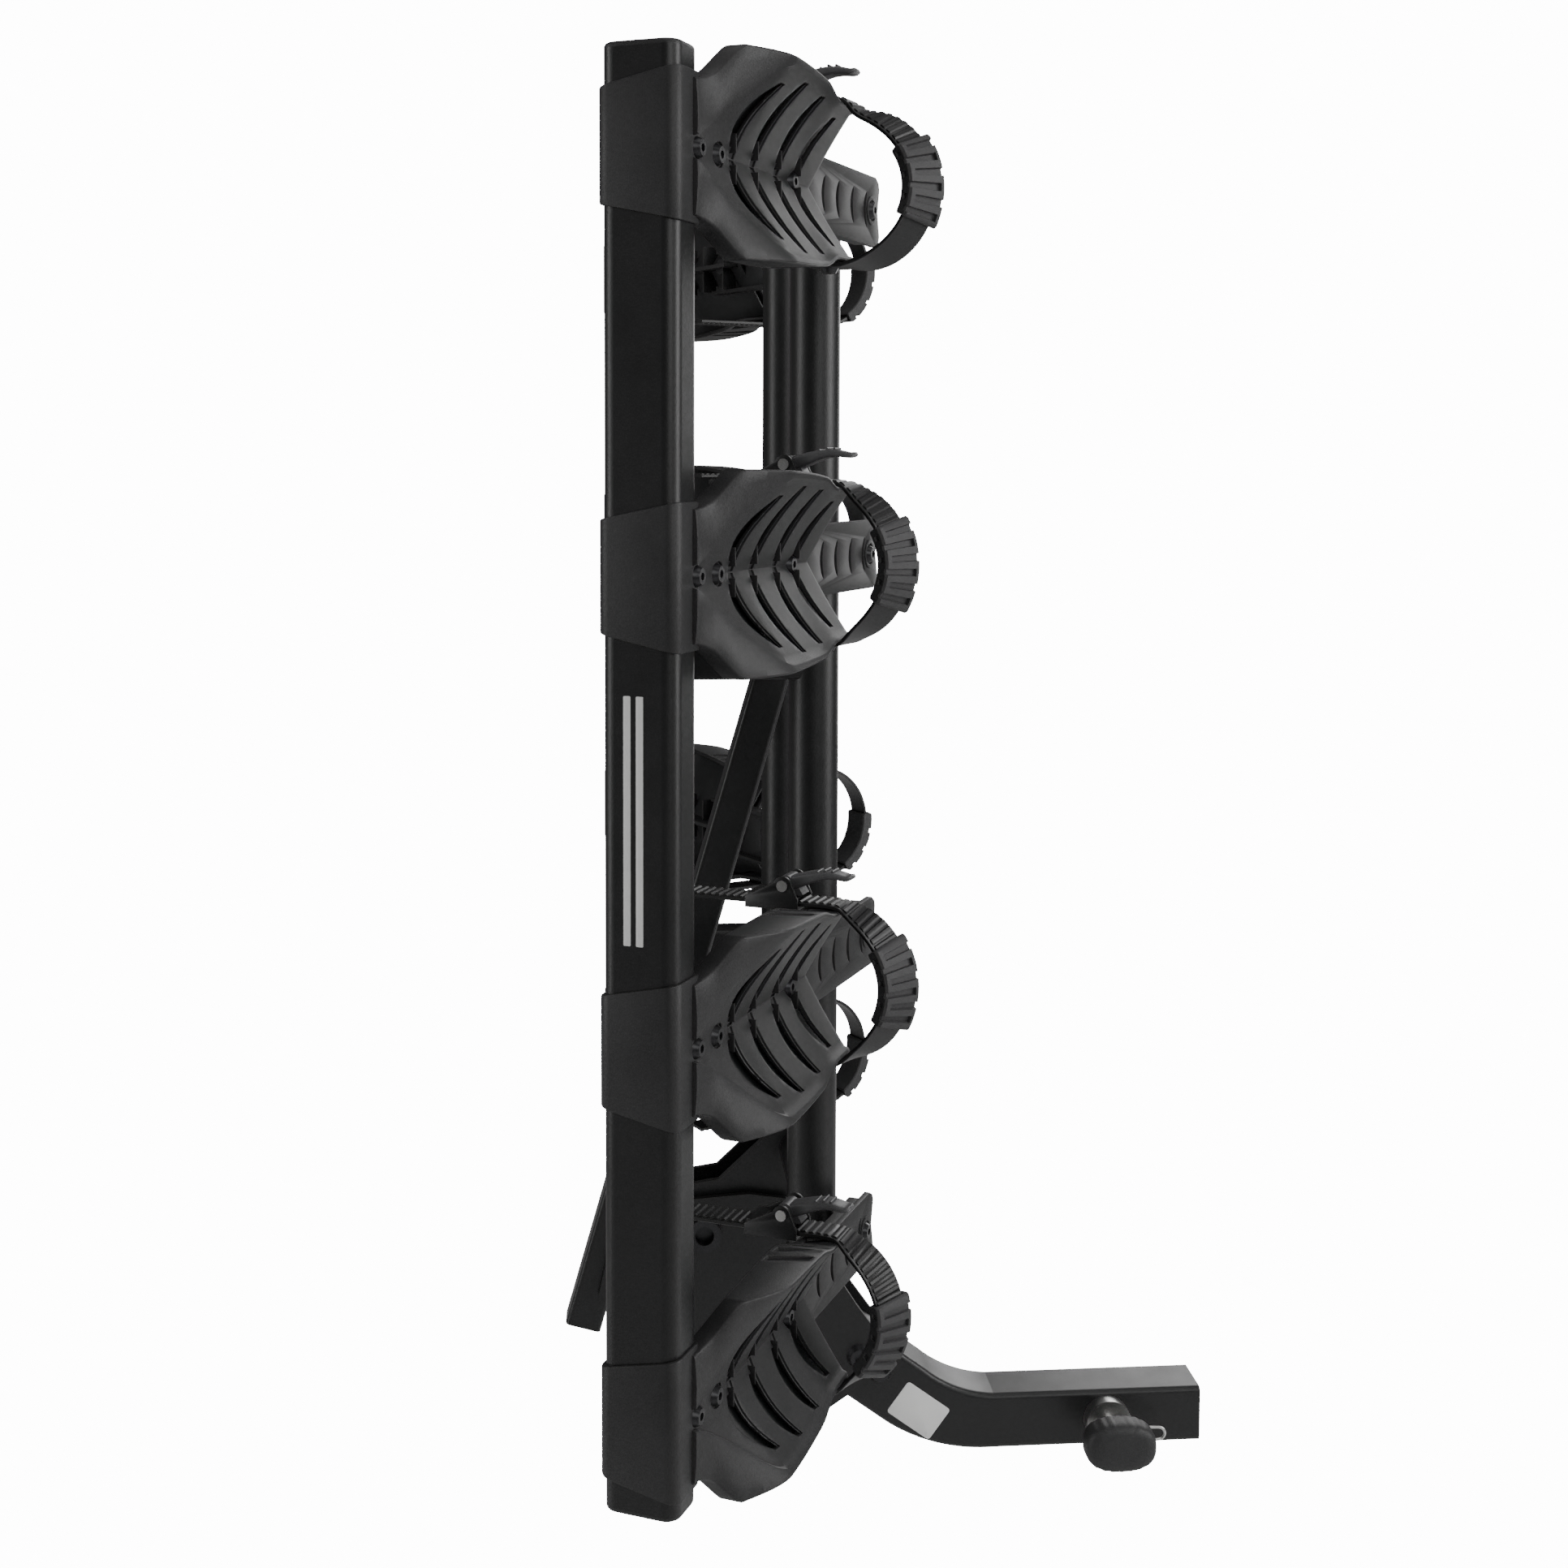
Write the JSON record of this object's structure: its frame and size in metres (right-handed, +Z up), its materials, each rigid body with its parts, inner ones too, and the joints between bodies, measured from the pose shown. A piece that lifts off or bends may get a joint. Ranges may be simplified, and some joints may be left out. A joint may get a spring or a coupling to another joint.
{
  "type": "hitch mounted bike rack",
  "caption": "Folding platform bike rack for a square receiver: side beams with strapped wheel trays, twin round rails, diagonal strut and goosenecked shank, stored upright.",
  "frame": {"origin": "hitch pin axis in the middle plane of the receiver shank", "axes": "+X along the shank towards the vehicle, +Y across the vehicle, +Z up; the platform is shown folded up"},
  "size_m": [0.5814, 1.017, 1.1886],
  "materials": {
    "powder_coat": "fine textured black powder coat",
    "tray_plastic": "moulded charcoal plastic with a fine grain",
    "strap_plastic": "smooth black plastic",
    "pad_rubber": "soft dark grey rubber",
    "black_rubber": "black rubber",
    "black_oxide": "black oxide steel",
    "cap_plastic": "black moulded plastic",
    "zinc_steel": "bright zinc",
    "lever_metal": "dark grey coated metal",
    "knob_plastic": "black moulded plastic"
  },
  "bodies": {
    "hitch_mount": {"receiver_shank": "powder_coat", "bracket_plate_near": "powder_coat", "bracket_plate_far": "powder_coat", "bracket_bolts": "black_oxide", "fold_stop": "black_rubber", "pivot_bolt": "black_oxide", "lock_housing": "zinc_steel"},
    "platform": {"side_beam_near": "powder_coat", "side_beam_far": "powder_coat", "beam_end_caps": "cap_plastic", "rail_near": "powder_coat", "rail_far": "powder_coat", "rail_end_caps": "cap_plastic", "cross_tubes": "powder_coat", "riser_posts": "powder_coat", "strut": "powder_coat", "strut_end_cap": "cap_plastic", "rail_cross_bar": "powder_coat", "pivot_yoke": "powder_coat", "pivot_bushes": "cap_plastic", "wheel_holder_near_1": "tray_plastic", "wheel_holder_near_2": "tray_plastic", "wheel_holder_near_3": "tray_plastic", "wheel_holder_near_4": "tray_plastic", "wheel_holder_far_1": "tray_plastic", "wheel_holder_far_2": "tray_plastic", "wheel_holder_far_3": "tray_plastic", "wheel_holder_far_4": "tray_plastic", "ladder_strap_near_1": "strap_plastic", "ladder_strap_near_2": "strap_plastic", "ladder_strap_near_3": "strap_plastic", "ladder_strap_near_4": "strap_plastic", "ladder_strap_far_1": "strap_plastic", "ladder_strap_far_2": "strap_plastic", "ladder_strap_far_3": "strap_plastic", "ladder_strap_far_4": "strap_plastic", "holder_bolts": "black_oxide", "tongue_spacers": "cap_plastic", "buckle_bases": "strap_plastic", "buckle_rivets": "zinc_steel"},
    "hitch_pin": {"hitch_pin": "zinc_steel", "hitch_pin_knob": "knob_plastic"},
    "hitch_clip": {"hitch_pin_clip": "zinc_steel"},
    "lock_pin": {"lock_pin": "zinc_steel"},
    "pad_near_1": {"strap_pad_near_1": "pad_rubber"},
    "lever_near_1": {"buckle_lever_near_1": "lever_metal"},
    "pad_near_2": {"strap_pad_near_2": "pad_rubber"},
    "lever_near_2": {"buckle_lever_near_2": "lever_metal"},
    "pad_near_3": {"strap_pad_near_3": "pad_rubber"},
    "lever_near_3": {"buckle_lever_near_3": "lever_metal"},
    "pad_near_4": {"strap_pad_near_4": "pad_rubber"},
    "lever_near_4": {"buckle_lever_near_4": "lever_metal"},
    "pad_far_1": {"strap_pad_far_1": "pad_rubber"},
    "lever_far_1": {"buckle_lever_far_1": "lever_metal"},
    "pad_far_2": {"strap_pad_far_2": "pad_rubber"},
    "lever_far_2": {"buckle_lever_far_2": "lever_metal"},
    "pad_far_3": {"strap_pad_far_3": "pad_rubber"},
    "lever_far_3": {"buckle_lever_far_3": "lever_metal"},
    "pad_far_4": {"strap_pad_far_4": "pad_rubber"},
    "lever_far_4": {"buckle_lever_far_4": "lever_metal"}
  },
  "joints": [
    {"name": "platform_fold", "type": "hinge", "parent": "hitch_mount", "child": "platform", "pos_m": [-0.37, 0, 0.188], "axis": [0, -1, 0], "range_deg": [0, 90]},
    {"name": "hitch_pin_pull", "type": "slide", "parent": "hitch_mount", "child": "hitch_pin", "axis": [0, -1, 0], "range_m": [0, 0.09]},
    {"name": "hitch_clip_pull", "type": "slide", "parent": "hitch_pin", "child": "hitch_clip", "axis": [1, 0, 0], "range_m": [0, 0.03]},
    {"name": "lock_pin_pull", "type": "slide", "parent": "hitch_mount", "child": "lock_pin", "axis": [0, 1, 0], "range_m": [-0.0055, 0.01], "stiffness_N_per_m": 400, "springref_m": -0.0055},
    {"name": "pad_slide_near_1", "type": "hinge", "parent": "platform", "child": "pad_near_1", "pos_m": [-0.26837, -0.3304, 1.078], "axis": [0.4384, 0.8988, 0], "range_deg": [-10, 10]},
    {"name": "lever_near_1", "type": "hinge", "parent": "platform", "child": "lever_near_1", "pos_m": [-0.3187, -0.30585, 1.151], "axis": [-0.4384, -0.8988, 0], "range_deg": [0, 100]},
    {"name": "pad_slide_near_2", "type": "hinge", "parent": "platform", "child": "pad_near_2", "pos_m": [-0.2832, -0.32317, 0.801], "axis": [0.4384, 0.8988, 0], "range_deg": [-10, 10]},
    {"name": "lever_near_2", "type": "hinge", "parent": "platform", "child": "lever_near_2", "pos_m": [-0.3187, -0.30585, 0.874], "axis": [-0.4384, -0.8988, 0], "range_deg": [0, 100]},
    {"name": "pad_slide_near_3", "type": "hinge", "parent": "platform", "child": "pad_near_3", "pos_m": [-0.28149, -0.324, 0.488], "axis": [0.4384, 0.8988, 0], "range_deg": [-10, 10]},
    {"name": "lever_near_3", "type": "hinge", "parent": "platform", "child": "lever_near_3", "pos_m": [-0.3187, -0.30585, 0.561], "axis": [-0.4384, -0.8988, 0], "range_deg": [0, 100]},
    {"name": "pad_slide_near_4", "type": "hinge", "parent": "platform", "child": "pad_near_4", "pos_m": [-0.28868, -0.32049, 0.238], "axis": [0.4384, 0.8988, 0], "range_deg": [-10, 10]},
    {"name": "lever_near_4", "type": "hinge", "parent": "platform", "child": "lever_near_4", "pos_m": [-0.3187, -0.30585, 0.311], "axis": [-0.4384, -0.8988, 0], "range_deg": [0, 100]},
    {"name": "pad_slide_far_1", "type": "hinge", "parent": "platform", "child": "pad_far_1", "pos_m": [-0.23511, 0.34662, 1.078], "axis": [0.4384, -0.8988, 0], "range_deg": [-10, 10]},
    {"name": "lever_far_1", "type": "hinge", "parent": "platform", "child": "lever_far_1", "pos_m": [-0.25129, 0.33873, 1.005], "axis": [-0.4384, 0.8988, 0], "range_deg": [-30, 70]},
    {"name": "pad_slide_far_2", "type": "hinge", "parent": "platform", "child": "pad_far_2", "pos_m": [-0.23511, 0.34662, 0.801], "axis": [0.4384, -0.8988, 0], "range_deg": [-10, 10]},
    {"name": "lever_far_2", "type": "hinge", "parent": "platform", "child": "lever_far_2", "pos_m": [-0.25129, 0.33873, 0.874], "axis": [0.4384, -0.8988, 0], "range_deg": [-30, 70]},
    {"name": "pad_slide_far_3", "type": "hinge", "parent": "platform", "child": "pad_far_3", "pos_m": [-0.23511, 0.34662, 0.488], "axis": [0.4384, -0.8988, 0], "range_deg": [-10, 10]},
    {"name": "lever_far_3", "type": "hinge", "parent": "platform", "child": "lever_far_3", "pos_m": [-0.25129, 0.33873, 0.415], "axis": [-0.4384, 0.8988, 0], "range_deg": [-30, 70]},
    {"name": "pad_slide_far_4", "type": "hinge", "parent": "platform", "child": "pad_far_4", "pos_m": [-0.23511, 0.34662, 0.238], "axis": [0.4384, -0.8988, 0], "range_deg": [-10, 10]},
    {"name": "lever_far_4", "type": "hinge", "parent": "platform", "child": "lever_far_4", "pos_m": [-0.25129, 0.33873, 0.165], "axis": [-0.4384, 0.8988, 0], "range_deg": [-30, 70]}
  ]
}
